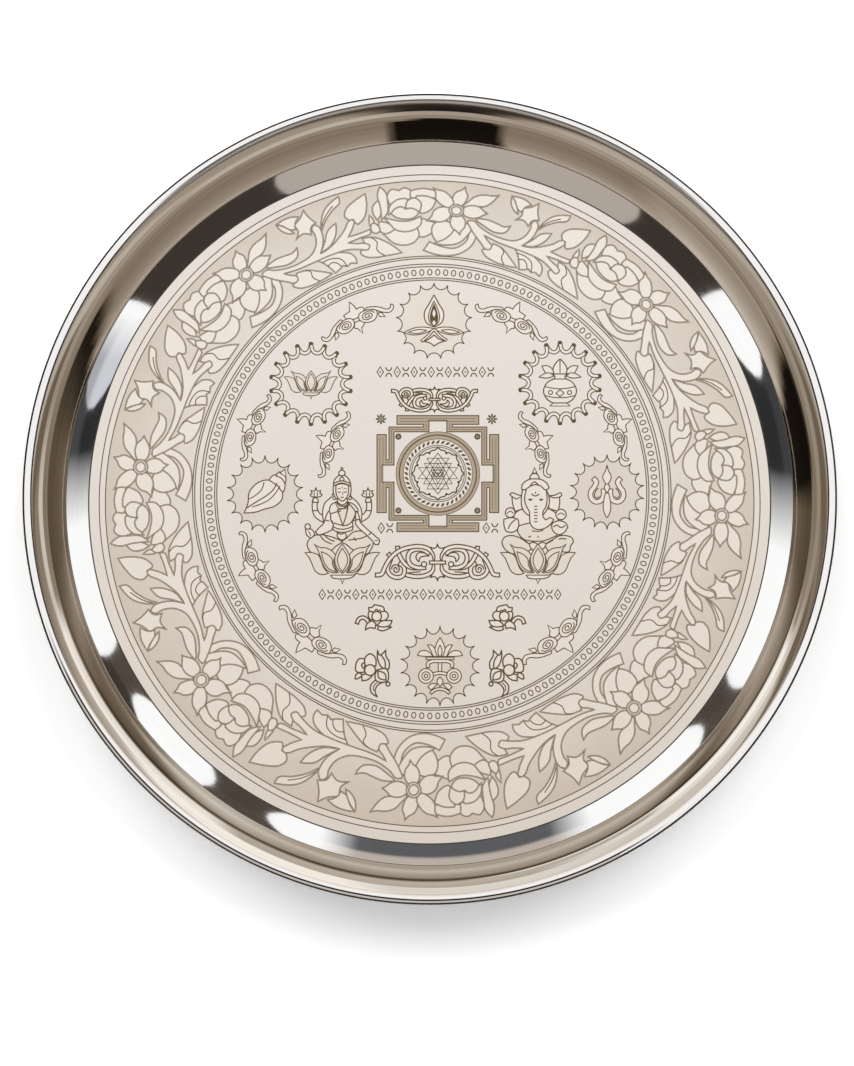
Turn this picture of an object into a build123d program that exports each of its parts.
"""Puja thali: a round offering plate pressed from one steel sheet, its edge rolled round a wire.

The plate stands on its flat base. Z is the axis of the plate and points up, and the origin is the
middle of the underside of the base. Lengths are in millimetres and angles in degrees.
"""

import os
from math import asin, atan2, cos, degrees, hypot, radians, sin, tan

from build123d import *

# Driving sizes of the plate
RIM_DIAMETER = 300.0  # over the rolled bead
HEIGHT = 28.0  # from the table to the crest of the bead
SHEET = 0.7  # thickness of the steel sheet
SIDE_WIDTH = 22.0  # from the edge of the flat base to the outside of the bead, seen from above
COVE_WIDTH = 8.4  # of which this is the sloping cove round the base
COVE_ANGLE = 32.0  # slope of the cove from the table
BASE_BEND = 2.0  # bend radii on the sheet's middle line
COVE_BEND = 1.6
LIP_RADIUS = 28.0  # the wall flares out in this radius below the bead
LIP_TURN = 20.0  # by this angle

# Driving sizes of the wired edge
WIRE_DIAMETER = 2.6
WIRE_CLEARANCE = 0.05  # all round the wire, inside the curl
WIRE_GAP = 1.2  # between the butted ends of the wire
CURL_SWEEP = 295.0  # how far the sheet is rolled round the wire

# Places that follow from them, as radius and height on the sheet's middle line
curl_radius = WIRE_DIAMETER / 2 + WIRE_CLEARANCE + SHEET / 2
bead_radius = curl_radius + SHEET / 2
wire_ring_radius = RIM_DIAMETER / 2 - bead_radius
wire_ring_height = HEIGHT - bead_radius
base_corner = (RIM_DIAMETER / 2 - SIDE_WIDTH, SHEET / 2)
cove_corner = (base_corner[0] + COVE_WIDTH, base_corner[1] + COVE_WIDTH * tan(radians(COVE_ANGLE)))

# The wall is the straight line from the cove that runs, through the lip, tangent into the curl
to_wire = (wire_ring_radius - cove_corner[0], wire_ring_height - cove_corner[1])
to_wire_length = hypot(*to_wire)
lip_less_curl = LIP_RADIUS - curl_radius
wire_off_wall = LIP_RADIUS - lip_less_curl * cos(radians(LIP_TURN))
wall_angle = atan2(to_wire[1], to_wire[0]) + asin(wire_off_wall / to_wire_length)
wall_length = (to_wire_length**2 - wire_off_wall**2) ** 0.5 - lip_less_curl * sin(radians(LIP_TURN))
wall_top = (
    cove_corner[0] + wall_length * cos(wall_angle),
    cove_corner[1] + wall_length * sin(wall_angle),
)

os.makedirs("parts", exist_ok=True)

# Pan: base, cove, wall, flared lip and curl are one sheet, drawn as a bent line and revolved
with BuildPart() as pan:
    with BuildSketch(Plane.XZ) as sheet_section:
        with BuildLine() as middle_line:
            bowl = FilletPolyline(
                (0, base_corner[1]), base_corner, cove_corner, wall_top, radius=(BASE_BEND, COVE_BEND)
            )
            lip = JernArc(bowl @ 1, bowl % 1, LIP_RADIUS, -LIP_TURN)
            JernArc(lip @ 1, lip % 1, curl_radius, -CURL_SWEEP)
        trace(line_width=SHEET)
    revolve(axis=Axis.Z)
pan.part.label = "pan"

# Rim wire: one turn of round wire lying in the curl, its two ends butted
with BuildPart() as rim_wire:
    with BuildSketch(Plane.XZ) as wire_section:
        with Locations((wire_ring_radius, wire_ring_height)):
            Circle(WIRE_DIAMETER / 2)
    revolve(axis=Axis.Z, revolution_arc=360 - degrees(WIRE_GAP / wire_ring_radius))
rim_wire.part.label = "rim_wire"

for piece in (pan, rim_wire):
    export_step(piece.part, f"parts/{piece.part.label}.step")
    print(piece.part.label, "volume", round(piece.part.volume), "mm3", piece.part.bounding_box().size)
print("wall slope", round(degrees(wall_angle), 1), "degrees, length", round(wall_length, 1), "mm")
